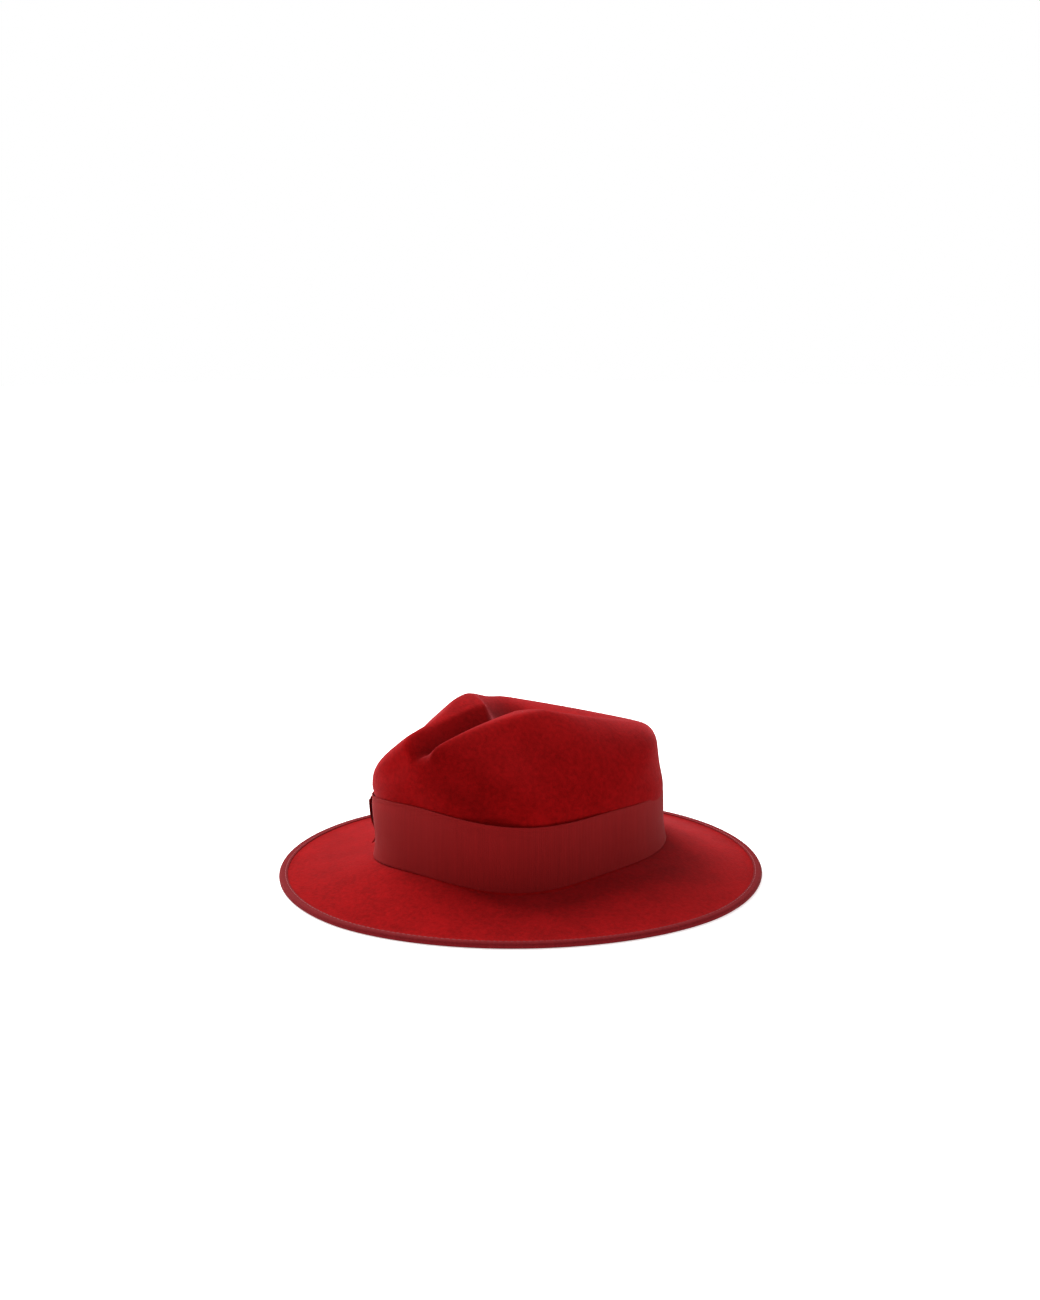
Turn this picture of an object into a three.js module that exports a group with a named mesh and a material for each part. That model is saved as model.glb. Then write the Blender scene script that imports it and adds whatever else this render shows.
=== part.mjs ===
// A wide-brim felt fedora: one blocked felt shell with a teardrop crown and two front pinches, a
// grosgrain hat band, a bound brim edge and a flat bow on the wearer's right.
//
// Millimetres, +Z up. The hat rests on its brim, so z = 0 is the underside of the bound edge, and
// the origin is under the middle of the brim. -Y is the front, +X is the wearer's left.
// theta turns round the crown: 0 at the front, 90 degrees at the wearer's left.
import * as THREE from "three";

// ---- driving dimensions ------------------------------------------------------------------------

const FELT = 2.0;              // thickness of the felt
const GAP = 0.3;               // clearance between neighbouring pieces

const BRIM_HALF_WIDTH = 160;   // outline of the bound brim, side to side
const BRIM_HALF_LENGTH = 164;  // and front to back
const BRIM_EXPONENT = 1.9;     // 2 is an ellipse, less is a little more pointed
const BRIM_FLAT = 8;           // the flat margin that the binding covers
const BRIM_CURVE = 1.15;       // how the slope gathers towards the crown

const BINDING = 0.6;           // thickness of the binding ribbon
const BINDING_WIDTH = 6.5;     // how far it reaches in over the felt
const EDGE_MIDDLE = FELT / 2 + GAP + BINDING;   // height of the brim edge's middle plane

const CROWN_FORWARD = 1.2;     // the crown sits this far in front of the brim's middle
const CROWN_HALF_WIDTH = 80.6; // felt at the foot of the crown
const CROWN_HALF_LENGTH = 96.2;
const FRONT_EXPONENT = { foot: 2.55, top: 2.85 };   // a head oval, fuller over the band
const BACK_EXPONENT = 2.53;
const SWELL = [12, 50];        // heights between which the front fills out
const SQUEEZE = 2.4;           // the band draws the front of the crown in
const SQUEEZE_RISE = [-3, 7];  // heights from the band's top edge where the felt fills out again
const TAPER_START = 50;        // the wall stands upright up to here, then leans in
const TAPER_SIDE = 0.10;       // inward lean per millimetre of height
const TAPER_FRONT = 0.06;
const TAPER_BACK = 0.15;
const BREAK_RADIUS = 4;        // the bend where crown and brim meet

const BAND = 1.2;              // hat band with its folded edges
const BAND_GAP = 0.45;         // its clearance from the felt, which curves under it
const BAND_ABOVE_BRIM = 1.0;   // its lower edge stands this far over the felt
const BAND_FLARE = 0.6;        // and this much further out than the rest

const BOW_THETA = -71;         // middle of the bow, on the wearer's right
const BOW_LOOP = 43;           // length of each loop from the middle
const BOW_RADIUS = 88;         // radius of the crown there
const BOW_GAP = 0.6;           // clearance from the band, which curves under it
const BOW_RIBBON = 0.9;        // thickness of the bow ribbon
const BOW_BELLY = 1.3;         // opening inside a loop at its end
const BOW_LOWER = 5;           // a loop's lower edge over the band's lower edge
const BOW_UPPER = 0.8;         // and its upper edge under the band's upper edge
const BOW_PINCH = 3.0;         // how much each edge draws in at the knot
const KNOT_WIDTH = 14;

// The top of the crown, section by section along its length. Each half of a section rises to a
// rim, falls away outside it, and runs down a shelf to an inner ridge and into the centre groove.
// t runs forward from the middle of the crown.
const SECTION_COLUMNS = ["t", "rim", "height", "fall", "shelf", "ridge", "groove", "dent",
  "centre", "lean", "corner"];
const SECTIONS = [
  [-100, 46.0, 85.0, 0.10, 0.00, 10.0, 0.0, 0.0, 0.0, 0.00, 9.0],
  [-60, 50.0, 94.9, 0.32, 0.00, 10.0, 0.0, 0.0, 0.0, -0.015, 10.0],
  [-35, 48.0, 102.1, 0.55, 0.00, 10.0, 0.0, 8.0, 0.0, -0.025, 15.0],
  [-15, 42.5, 107.4, 0.64, 0.00, 10.0, 1.0, 19.0, 0.0, -0.015, 22.0],
  [5, 37.5, 112.7, 0.70, 0.10, 10.0, 4.0, 23.0, 0.0, -0.025, 28.0],
  [25, 31.5, 113.6, 0.82, 0.24, 12.0, 9.0, 20.0, 0.0, -0.02, 28.0],
  [45, 23.8, 110.2, 0.88, 0.30, 12.0, 10.5, 4.0, 0.0, 0.00, 22.0],
  [63, 18.6, 106.5, 0.86, 0.32, 12.0, 11.0, 0.0, 0.0, 0.01, 18.0],
  [75, 15.6, 104.0, 0.85, 0.25, 11.5, 11.0, 0.0, 0.0, -0.03, 16.0],
  [84, 13.0, 101.5, 0.82, 0.15, 11.0, 10.0, 0.0, -1.3, -0.07, 10.0],
  [90, 10.8, 99.2, 0.80, 0.05, 9.8, 8.5, 0.0, -2.0, -0.08, 7.0],
  [95, 9.0, 96.6, 0.80, 0.00, 8.2, 6.0, 0.0, -2.5, -0.08, 6.0],
  [102, 7.5, 91.5, 0.80, 0.00, 6.0, 2.0, 0.0, -3.0, -0.08, 6.0],
];
const RIM_ROUND = 4;           // softness of the rims
const RIDGE_ROUND = 1.1;       // of the inner ridges
const GROOVE_ROUND = 1.5;      // and of the groove's bottom
const DENT_REACH = 0.78;       // of the wide dent, as a share of the rim's half width
const SHELF_END = 12.5;        // t where a shelf drops into the wide dent at the rim
const SHELF_END_BOW = 0.0148;  // how that edge bows forward towards the middle
const SHELF_END_HALF = 34;
const SHELF_DROP = 7;          // run of the drop
const SHELF_EDGE = 1;          // softness of its edge
const FIRM_SIDE = 0.7;         // the wearer's right keeps this share of the other side's corner

// The two soft valleys of the front pinch, mirrored left and right: half width, t, height.
const VALLEY_TOP = new THREE.Vector3(5, 93.5, 88);
const VALLEY_FOOT = new THREE.Vector3(57, 82, 55);
const VALLEY_DEPTH = { left: 6, right: 1.5 };
const VALLEY_WIDTH = 9;

const TUCK_DEPTH = 1.6;        // the felt draws in just over the band at the front
const TUCK_ABOVE = 4;
const TUCK_HALF = 5;

const RING_STEPS = 64;         // sections round the hat
const FRONT_DENSITY = 0.3;     // share by which they crowd towards the front
const SHELL_CENTRE = 42;       // height of the point that the crown's rays start from
const SHELL_ANGLES = [5, 9, 13, 20, 28, 35, 41, 46, 51, 55, 59, 63, 68, 74, 81];

// ---- small helpers -----------------------------------------------------------------------------

const radians = THREE.MathUtils.degToRad;
const clamp = THREE.MathUtils.clamp;
const smoothstep = THREE.MathUtils.smoothstep;

const THETAS = Array.from({ length: RING_STEPS }, (_, i) => {
  const even = (2 * Math.PI * i) / RING_STEPS;
  return even - FRONT_DENSITY * Math.sin(even);
});

function ovalRadius(theta, halfWidth, halfLength, exponent) {
  const across = Math.abs(Math.sin(theta) / halfWidth) ** exponent;
  const along = Math.abs(Math.cos(theta) / halfLength) ** exponent;
  return (across + along) ** (-1 / exponent);
}

// 0 well below zero, d well above it, rounded over r.
function softRamp(d, r) {
  return 0.5 * (d + Math.sqrt(d * d + r * r));
}

function smoothMax(a, b, blend) {
  const h = Math.max(blend - Math.abs(a - b), 0) / blend;
  return Math.max(a, b) + h * h * blend * 0.25;
}

// A smooth curve through one column of the section table.
function sectionValue(t, name) {
  const column = SECTION_COLUMNS.indexOf(name);
  const last = SECTIONS.length - 1;
  const at = clamp(t, SECTIONS[0][0], SECTIONS[last][0]);
  let i = 0;
  while (i < last - 1 && SECTIONS[i + 1][0] < at) i += 1;
  const slope = (k) => {
    const before = Math.max(k - 1, 0);
    const after = Math.min(k + 1, last);
    const steps = [];
    if (k > before) steps.push([before, k]);
    if (after > k) steps.push([k, after]);
    const rates = steps.map(([p, q]) => {
      return (SECTIONS[q][column] - SECTIONS[p][column]) / (SECTIONS[q][0] - SECTIONS[p][0]);
    });
    return rates.reduce((sum, rate) => sum + rate, 0) / rates.length;
  };
  const h = SECTIONS[i + 1][0] - SECTIONS[i][0];
  const q = (at - SECTIONS[i][0]) / h;
  const start = (2 * q ** 3 - 3 * q ** 2 + 1) * SECTIONS[i][column];
  const end = (3 * q ** 2 - 2 * q ** 3) * SECTIONS[i + 1][column];
  const leave = (q ** 3 - 2 * q ** 2 + q) * h * slope(i);
  const arrive = (q ** 3 - q ** 2) * h * slope(i + 1);
  return start + end + leave + arrive;
}

// ---- the form of the hat -----------------------------------------------------------------------

function turned(theta, from) {
  return THREE.MathUtils.euclideanModulo(theta - from + Math.PI, 2 * Math.PI) - Math.PI;
}

function bandBottom(theta) {
  const dip = 1.5 * Math.exp(-((turned(theta, 0.72) / 0.42) ** 2));
  const waves = 2.4 * Math.cos(2 * theta) + 1.2 * Math.cos(4 * theta);
  return 14.8 - 2.3 * Math.cos(theta) + waves - dip;
}

function bandTop(theta) {
  return 53.0 + 0.9 * Math.cos(theta) + 2.7 * Math.cos(2 * theta) + 1.5 * Math.cos(4 * theta);
}

// The crown's wall. h is a height over the middle plane of the brim's edge.
function wallRadius(theta, h) {
  const lean = softRamp(h - TAPER_START, 10);
  const front = Math.cos(theta) > 0;
  const halfWidth = CROWN_HALF_WIDTH - TAPER_SIDE * lean;
  const halfLength = CROWN_HALF_LENGTH - (front ? TAPER_FRONT : TAPER_BACK) * lean;
  const fuller = smoothstep(h, ...SWELL);
  const frontExponent = THREE.MathUtils.lerp(FRONT_EXPONENT.foot, FRONT_EXPONENT.top, fuller);
  const exponent = front ? frontExponent : BACK_EXPONENT;
  const squeezed = SQUEEZE * smoothstep(Math.cos(theta), -0.3, 0.5);
  const drawnIn = squeezed * (1 - smoothstep(h - bandTop(theta), ...SQUEEZE_RISE));
  return ovalRadius(theta, halfWidth, halfLength, exponent) - drawnIn;
}

// Height of the crown's top over a point s across and t forward.
function roofHeight(sideways, t) {
  const s = sideways - sectionValue(t, "centre");
  const across = Math.abs(s);
  const rim = sectionValue(t, "rim");
  const outside = sectionValue(t, "fall") * softRamp(across - rim, RIM_ROUND);
  const shelf = sectionValue(t, "shelf") * softRamp(rim - across, RIM_ROUND);
  const ridge = sectionValue(t, "ridge");
  const rounded = Math.hypot(across, GROOVE_ROUND) - GROOVE_ROUND;
  const groove = (sectionValue(t, "groove") * softRamp(ridge - rounded, RIDGE_ROUND)) / ridge;
  const share = clamp(across / rim, 0, 1.2);
  const bowl = sectionValue(t, "dent") * Math.exp(-((share / DENT_REACH) ** 4));
  const endsAt = SHELF_END + SHELF_END_BOW * Math.max(0, SHELF_END_HALF - across) ** 2;
  const front = Math.exp(-((softRamp(endsAt - t, SHELF_EDGE) / SHELF_DROP) ** 1.3));
  const inside = front * (shelf + groove) + (1 - front) * Math.max(bowl, 0);
  return sectionValue(t, "height") + sectionValue(t, "lean") * s - outside - inside;
}

function valleyDepth(s, t, h) {
  const point = new THREE.Vector3(Math.abs(s), t, h);
  const run = VALLEY_FOOT.clone().sub(VALLEY_TOP);
  const along = clamp(point.clone().sub(VALLEY_TOP).dot(run) / run.lengthSq(), 0, 1.15);
  const distance = point.distanceTo(VALLEY_TOP.clone().addScaledVector(run, along));
  const left = smoothstep(s, -8, 8);
  const depth = THREE.MathUtils.lerp(VALLEY_DEPTH.right, VALLEY_DEPTH.left, left);
  const fading = (1 - 0.25 * along) * (0.45 + 0.55 * smoothstep(along, 0, 0.35));
  return depth * Math.exp(-((distance / VALLEY_WIDTH) ** 2)) * fading;
}

// Depth of the hollow over the band's upper edge.
function tuckDepth(theta, h) {
  const near = Math.exp(-(((h - bandTop(theta) - TUCK_ABOVE) / TUCK_HALF) ** 2));
  const angle = turned(theta, 0);
  return TUCK_DEPTH * near * smoothstep(angle, -0.75, -0.3) * (1 - smoothstep(angle, 0.45, 1.1));
}

// Roughly the distance outside the crown's outer surface, negative inside it.
function crownDistance(s, t, h) {
  const theta = Math.atan2(s, t);
  const beyondWall = (Math.hypot(s, t) - wallRadius(theta, h)) * 0.97;
  const step = 0.5;
  const slopeS = (roofHeight(s + step, t) - roofHeight(s - step, t)) / (2 * step);
  const slopeT = (roofHeight(s, t + step) - roofHeight(s, t - step)) / (2 * step);
  const aboveRoof = (h - roofHeight(s, t)) / Math.sqrt(1 + slopeS ** 2 + slopeT ** 2);
  const firm = THREE.MathUtils.lerp(FIRM_SIDE, 1, smoothstep(s, -20, 5));
  const joined = smoothMax(beyondWall, aboveRoof, sectionValue(t, "corner") * firm);
  return joined + valleyDepth(s, t, h) + tuckDepth(theta, h);
}

// The point where a ray from the crown's centre reaches the given distance from the surface.
function crownPoint(theta, elevation, level) {
  const forward = Math.cos(elevation) * Math.cos(theta);
  const across = Math.cos(elevation) * Math.sin(theta);
  const up = Math.sin(elevation);
  const outside = (reach) => {
    return crownDistance(across * reach, forward * reach, SHELL_CENTRE + up * reach) > level;
  };
  let high = 20;
  while (!outside(high) && high < 140) high += 3;
  let low = high - 3;
  for (let i = 0; i < 20; i += 1) {
    const middle = (low + high) / 2;
    if (outside(middle)) high = middle;
    else low = middle;
  }
  return ringPoint(theta, Math.cos(elevation) * high, SHELL_CENTRE + up * high);
}

// A point at a radius and height on the crown's axis, or blended towards the brim's axis.
function ringPoint(theta, radius, h, crownShare = 1) {
  const y = -radius * Math.cos(theta) - CROWN_FORWARD * crownShare;
  return new THREE.Vector3(radius * Math.sin(theta), y, h + EDGE_MIDDLE);
}

function brimRadius(theta) {
  return ovalRadius(theta, BRIM_HALF_WIDTH, BRIM_HALF_LENGTH, BRIM_EXPONENT);
}

// Height of the brim's upper face where it meets the crown.
function breakHeight(theta) {
  return bandBottom(theta) - BAND_ABOVE_BRIM;
}

// The felt's outer radius, with the bend into the brim.
function feltRadius(theta, h) {
  const over = clamp(BREAK_RADIUS - (h - breakHeight(theta)), 0, BREAK_RADIUS);
  const bend = BREAK_RADIUS - Math.sqrt(BREAK_RADIUS ** 2 - over ** 2);
  return wallRadius(theta, h) + bend - tuckDepth(theta, h);
}

// ---- closed solids from rings and outlines -----------------------------------------------------

function closedGeometry(points, triangles) {
  let volume = 0;
  for (const [a, b, c] of triangles) {
    volume += points[a].dot(points[b].clone().cross(points[c]));
  }
  const outward = volume > 0 ? triangles : triangles.map(([a, b, c]) => [a, c, b]);
  const geometry = new THREE.BufferGeometry().setFromPoints(points);
  geometry.setIndex(outward.flat());
  geometry.computeVertexNormals();
  return geometry;
}

// Rows of points round the hat, joined one to the next. poles closes the first and last row to a
// point each; without poles the last row joins the first.
function ringSolid(rows, poles = []) {
  const points = rows.flat();
  const count = rows[0].length;
  const triangles = [];
  const joins = poles.length ? rows.length - 1 : rows.length;
  for (let r = 0; r < joins; r += 1) {
    const next = (r + 1) % rows.length;
    for (let i = 0; i < count; i += 1) {
      const j = (i + 1) % count;
      triangles.push([r * count + i, r * count + j, next * count + j]);
      triangles.push([r * count + i, next * count + j, next * count + i]);
    }
  }
  poles.forEach((pole, end) => {
    points.push(pole);
    const tip = points.length - 1;
    const base = end === 0 ? 0 : (rows.length - 1) * count;
    for (let i = 0; i < count; i += 1) {
      const edge = [base + i, base + ((i + 1) % count)];
      triangles.push(end === 0 ? [tip, edge[1], edge[0]] : [tip, edge[0], edge[1]]);
    }
  });
  return closedGeometry(points, triangles);
}

// Sections joined one to the next, with both ends closed. The first half of a section's points is
// one side of a strip and the second half comes back along the other.
function stripSolid(sections) {
  const points = sections.flat();
  const count = sections[0].length;
  const triangles = [];
  for (let r = 0; r < sections.length - 1; r += 1) {
    for (let i = 0; i < count; i += 1) {
      const j = (i + 1) % count;
      const low = r * count;
      const high = low + count;
      triangles.push([low + i, low + j, high + j]);
      triangles.push([low + i, high + j, high + i]);
    }
  }
  const last = (sections.length - 1) * count;
  for (let i = 0; i < count / 2 - 1; i += 1) {
    const back = count - 1 - i;
    triangles.push([i, back, back - 1], [i, back - 1, i + 1]);
    triangles.push([last + i, last + i + 1, last + back - 1]);
    triangles.push([last + i, last + back - 1, last + back]);
  }
  return closedGeometry(points, triangles);
}

// ---- pieces ------------------------------------------------------------------------------------

// One side of the felt, from the brim's edge to the top of the crown. inset is 0 on the outside and
// the felt's thickness on the inside.
function feltRows(inset) {
  const rows = [];
  const addRow = (place) => rows.push(THETAS.map(place));
  const rampStart = (theta) => brimRadius(theta) - BRIM_FLAT;
  const bendStart = (theta) => wallRadius(theta, 0) + BREAK_RADIUS;

  const top = FELT / 2;

  addRow((theta) => ringPoint(theta, brimRadius(theta) - GAP - BINDING, top - inset, 0));
  for (const share of [0, 0.33, 0.66, 1]) {
    addRow((theta) => {
      const radius = THREE.MathUtils.lerp(rampStart(theta), bendStart(theta), share);
      const rise = (breakHeight(theta) - top) * share ** BRIM_CURVE;
      return ringPoint(theta, radius, top - inset + rise, share);
    });
  }
  for (const turn of [30, 60, 90].map(radians)) {
    addRow((theta) => {
      const reach = BREAK_RADIUS + inset;
      const radius = bendStart(theta) - reach * Math.sin(turn);
      return ringPoint(theta, radius, breakHeight(theta) + BREAK_RADIUS - reach * Math.cos(turn));
    });
  }
  for (const h of [31, SHELL_CENTRE]) {
    addRow((theta) => ringPoint(theta, wallRadius(theta, h) - inset, h));
  }
  for (const angle of SHELL_ANGLES.map(radians)) {
    addRow((theta) => crownPoint(theta, angle, -inset));
  }
  return rows;
}

function feltBody() {
  const outside = feltRows(0).reverse();
  const inside = feltRows(FELT);
  const top = crownPoint(0, Math.PI / 2, 0);
  const hollowTop = crownPoint(0, Math.PI / 2, -FELT);
  return ringSolid([...outside, ...inside], [top, hollowTop]);
}

// Outer face of the hat band at a height.
function bandFace(theta, h) {
  return feltRadius(theta, h) + BAND_GAP + BAND;
}

function hatBand() {
  const heights = [0, 0.08, 0.4, 0.72, 0.88, 1];
  const row = (share, thickness) => THETAS.map((theta) => {
    const h = THREE.MathUtils.lerp(bandBottom(theta), bandTop(theta), share);
    const flare = share === 0 ? BAND_FLARE : 0;
    return ringPoint(theta, feltRadius(theta, h) + BAND_GAP + flare + thickness, h);
  });
  const inner = heights.map((share) => row(share, 0));
  const outer = heights.map((share) => row(share, BAND)).reverse();
  return ringSolid([...inner, ...outer]);
}

function brimBinding() {
  const top = EDGE_MIDDLE;
  const section = [   // distance in from the outline, height over the edge's middle plane
    [BINDING_WIDTH, -top],
    [BINDING, -top],
    [0, BINDING - top],
    [0, top - BINDING],
    [BINDING, top],
    [BINDING_WIDTH, top],
    [BINDING_WIDTH, top - BINDING],
    [BINDING, top - BINDING],
    [BINDING, BINDING - top],
    [BINDING_WIDTH, BINDING - top],
  ];
  return ringSolid(section.map(([inward, h]) => {
    return THETAS.map((theta) => ringPoint(theta, brimRadius(theta) - inward, h, 0));
  }));
}

// A point on the bow: along the band from its middle, out from the band's face, at a height.
function bowPoint(along, out, h) {
  const theta = radians(BOW_THETA) + along / BOW_RADIUS;
  return ringPoint(theta, bandFace(theta, h) + out, h);
}

// Lower and upper edge of the bow's ribbon, the same on both sides of its middle.
function bowEdges(along) {
  const theta = radians(BOW_THETA) + Math.abs(along) / BOW_RADIUS;
  const pinch = BOW_PINCH * (1 - smoothstep(Math.abs(along), KNOT_WIDTH / 2, BOW_LOOP * 0.6));
  const lower = bandBottom(theta) + BOW_LOWER + pinch;
  const upper = bandTop(theta) - BOW_UPPER - pinch;
  return [lower, upper];
}

// The ribbon of one loop runs out along the band, turns round and comes back over itself. Each
// station is the ribbon's outer and inner face as [distance along the band, distance out].
function bowLoop(direction) {
  const steps = 9;
  const reach = BOW_LOOP - 2;
  const under = BOW_GAP + BOW_RIBBON;
  const middle = under + BOW_BELLY / 2;
  const shares = Array.from({ length: steps + 1 }, (_, i) => i / steps);
  const along = (share) => THREE.MathUtils.lerp(0.6, reach, share);
  const belly = (share) => GAP + (BOW_BELLY - GAP) * smoothstep(share, 0.25, 0.9);
  const stations = [
    ...shares.map((share) => [[along(share), BOW_GAP], [along(share), under]]),
    ...[45, 90, 135].map(radians).map((turn) => {
      return [BOW_BELLY / 2 + BOW_RIBBON, BOW_BELLY / 2].map((radius) => {
        return [reach + radius * Math.sin(turn), middle - radius * Math.cos(turn)];
      });
    }),
    ...shares.reverse().map((share) => {
      const over = under + belly(share);
      return [[along(share), over + BOW_RIBBON], [along(share), over]];
    }),
  ];
  return stripSolid(stations.map(([outer, inner]) => {
    const corner = ([x, out], edge) => bowPoint(x * direction, out, bowEdges(x)[edge]);
    return [corner(outer, 0), corner(outer, 1), corner(inner, 1), corner(inner, 0)];
  }));
}

// The knot is a strap bent round the bow's middle, open towards the band. Each station is the
// strap's inner and outer face as [distance out, distance below (-) or above (+) the loops' edge].
function bowKnot() {
  const inside = BOW_GAP + BOW_RIBBON + GAP + BOW_RIBBON + GAP;
  const outside = inside + BOW_RIBBON;
  const far = GAP + BOW_RIBBON;
  const stations = [
    [[BOW_GAP, -GAP], [BOW_GAP, -far]],
    [[inside, -GAP], [outside, -far]],
    [[inside, GAP], [outside, far]],
    [[BOW_GAP, GAP], [BOW_GAP, far]],
  ];
  const across = [-KNOT_WIDTH / 2, 0, KNOT_WIDTH / 2];
  return stripSolid(stations.map(([inner, outer]) => {
    const corner = ([out, beyond], x) => {
      return bowPoint(x, out, beyond + bowEdges(x)[beyond < 0 ? 0 : 1]);
    };
    const innerSide = across.map((x) => corner(inner, x));
    const outerSide = across.map((x) => corner(outer, x)).reverse();
    return [...innerSide, ...outerSide];
  }));
}

// ---- the hat -----------------------------------------------------------------------------------

const felt = { color: 0x9c1420, roughness: 0.95, metalness: 0 };
const grosgrain = { color: 0x741618, roughness: 0.8, metalness: 0 };

const hat = new THREE.Group();

function addPiece(name, geometry, look) {
  const mesh = new THREE.Mesh(geometry, new THREE.MeshStandardMaterial(look));
  mesh.name = name;
  hat.add(mesh);
}

addPiece("felt_body", feltBody(), felt);
addPiece("hat_band", hatBand(), grosgrain);
addPiece("brim_binding", brimBinding(), grosgrain);
addPiece("bow_front_loop", bowLoop(1), grosgrain);
addPiece("bow_back_loop", bowLoop(-1), grosgrain);
addPiece("bow_knot", bowKnot(), grosgrain);

export default hat;
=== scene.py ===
"""A wide-brim felt fedora with a teardrop crown, a grosgrain band, a bound edge and a side bow.

The CAD model gives the frame: +Z up, -Y the front of the hat, +X the wearer's left, resting on
its brim at z = 0. The felt's form is worked out in millimetres from the middle plane of the brim's
edge: s across (towards the wearer's left), t forward from the middle of the crown and h up.
Angles round the hat, theta, start at the front and run towards the wearer's left.
"""
import math

import bpy
import numpy as np
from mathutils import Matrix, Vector


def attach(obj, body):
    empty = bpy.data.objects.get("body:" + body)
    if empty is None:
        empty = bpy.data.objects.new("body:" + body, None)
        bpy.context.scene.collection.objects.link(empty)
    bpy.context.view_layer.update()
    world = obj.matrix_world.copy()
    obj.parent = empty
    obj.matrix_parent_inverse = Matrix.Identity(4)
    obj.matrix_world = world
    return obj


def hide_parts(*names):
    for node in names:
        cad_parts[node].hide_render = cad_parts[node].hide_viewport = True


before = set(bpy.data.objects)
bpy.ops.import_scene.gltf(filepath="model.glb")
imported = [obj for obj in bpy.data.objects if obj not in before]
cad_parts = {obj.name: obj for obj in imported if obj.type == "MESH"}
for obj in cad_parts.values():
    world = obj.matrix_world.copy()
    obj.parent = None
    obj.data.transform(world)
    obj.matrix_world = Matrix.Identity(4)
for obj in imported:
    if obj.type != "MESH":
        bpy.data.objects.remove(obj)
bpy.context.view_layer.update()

MM = 0.001

# ---- sizes of the hat, in millimetres ----------------------------------------------------------

# form: start
FELT = 2.0                # thickness of the felt
GAP = 0.3                 # clearance between neighbouring pieces

BRIM_HALF_WIDTH = 160.0   # outline of the bound brim
BRIM_HALF_LENGTH = 164.0
BRIM_EXPONENT = 1.9       # 2 is an ellipse, less is a little more pointed
BRIM_FLAT = 8.0           # the flat margin that the binding covers
BRIM_CURVE = 1.15         # how the slope gathers towards the crown
BREAK_RADIUS = 4.0        # the bend where crown and brim meet

BINDING = 0.6             # thickness of the folded binding ribbon
BINDING_WIDTH = 5.6
EDGE_MIDDLE = FELT / 2 + GAP + BINDING   # height of the brim edge's middle plane

CROWN_FORWARD = 1.2       # the crown sits this far in front of the brim's middle
CROWN_HALF_WIDTH = 80.6   # felt at the foot of the crown
CROWN_HALF_LENGTH = 96.2
FRONT_EXPONENT = {"foot": 2.55, "top": 2.85}     # a head oval, fuller over the band
BACK_EXPONENT = 2.53
SWELL = (12.0, 50.0)      # heights between which the front fills out
TAPER_START = 50.0        # the wall stands upright up to here, then leans in
TAPER_SIDE = 0.10         # inward lean per millimetre of height
TAPER_LENGTH = {"front": 0.06, "back": 0.15}
SHELL_CENTRE = 42.0       # height of the point that the crown's rays start from

# The top of the crown, section by section along its length. Each half of a section rises to a
# rim, falls away outside it, and runs down a shelf to an inner ridge and into the centre groove.
SECTION_COLUMNS = ["t", "rim", "height", "fall", "shelf", "ridge", "groove", "dent", "centre",
                   "lean", "corner"]
SECTIONS = np.array([
    [-100, 46.0, 85.0, 0.10, 0.00, 10.0, 0.0, 0.0, 0.0, 0.00, 9.0],
    [-60, 50.0, 94.9, 0.32, 0.00, 10.0, 0.0, 0.0, 0.0, -0.015, 10.0],
    [-35, 48.0, 102.1, 0.55, 0.00, 10.0, 0.0, 8.0, 0.0, -0.025, 15.0],
    [-15, 42.5, 107.4, 0.64, 0.00, 10.0, 1.0, 19.0, 0.0, -0.015, 22.0],
    [5, 37.5, 112.7, 0.70, 0.10, 10.0, 4.0, 23.0, 0.0, -0.025, 28.0],
    [25, 31.5, 113.6, 0.82, 0.24, 12.0, 9.0, 20.0, 0.0, -0.02, 28.0],
    [45, 23.8, 110.2, 0.88, 0.30, 12.0, 10.5, 4.0, 0.0, 0.00, 22.0],
    [63, 18.6, 106.5, 0.86, 0.32, 12.0, 11.0, 0.0, 0.0, 0.01, 18.0],
    [75, 15.6, 104.0, 0.85, 0.25, 11.5, 11.0, 0.0, 0.0, -0.03, 16.0],
    [84, 13.0, 101.5, 0.82, 0.15, 11.0, 10.0, 0.0, -1.3, -0.07, 10.0],
    [90, 10.8, 99.2, 0.80, 0.05, 9.8, 8.5, 0.0, -2.0, -0.08, 7.0],
    [95, 9.0, 96.6, 0.80, 0.00, 8.2, 6.0, 0.0, -2.5, -0.08, 6.0],
    [102, 7.5, 91.5, 0.80, 0.00, 6.0, 2.0, 0.0, -3.0, -0.08, 6.0],
])
RIM_ROUND = 4.0           # softness of the rims
RIDGE_ROUND = 1.1         # of the inner ridges
GROOVE_ROUND = 1.5        # and of the groove's bottom
DENT_REACH = 0.78         # of the wide dent, as a share of the rim's half width
SHELF_END = 12.5          # t where a shelf drops into the wide dent at the rim
SHELF_END_BOW = 0.0148    # how that edge bows forward towards the middle
SHELF_END_HALF = 34.0
SHELF_DROP = 7.0          # run of the drop
SHELF_EDGE = 1.0          # softness of its edge
FIRM_SIDE = 0.7           # the wearer's right is pinched less: share of the other side's corner

VALLEY_TOP = np.array([5.0, 93.5, 88.0])    # the front pinches' valleys: half width, t, h
VALLEY_FOOT = np.array([57.0, 82.0, 55.0])
VALLEY_DEPTH = {"left": 6.0, "right": 1.5}
VALLEY_WIDTH = 9.0

SQUEEZE = 2.4             # the band draws the front of the crown in
SQUEEZE_RISE = (-3.0, 7.0)   # heights from the band's top edge over which the felt fills out again

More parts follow.
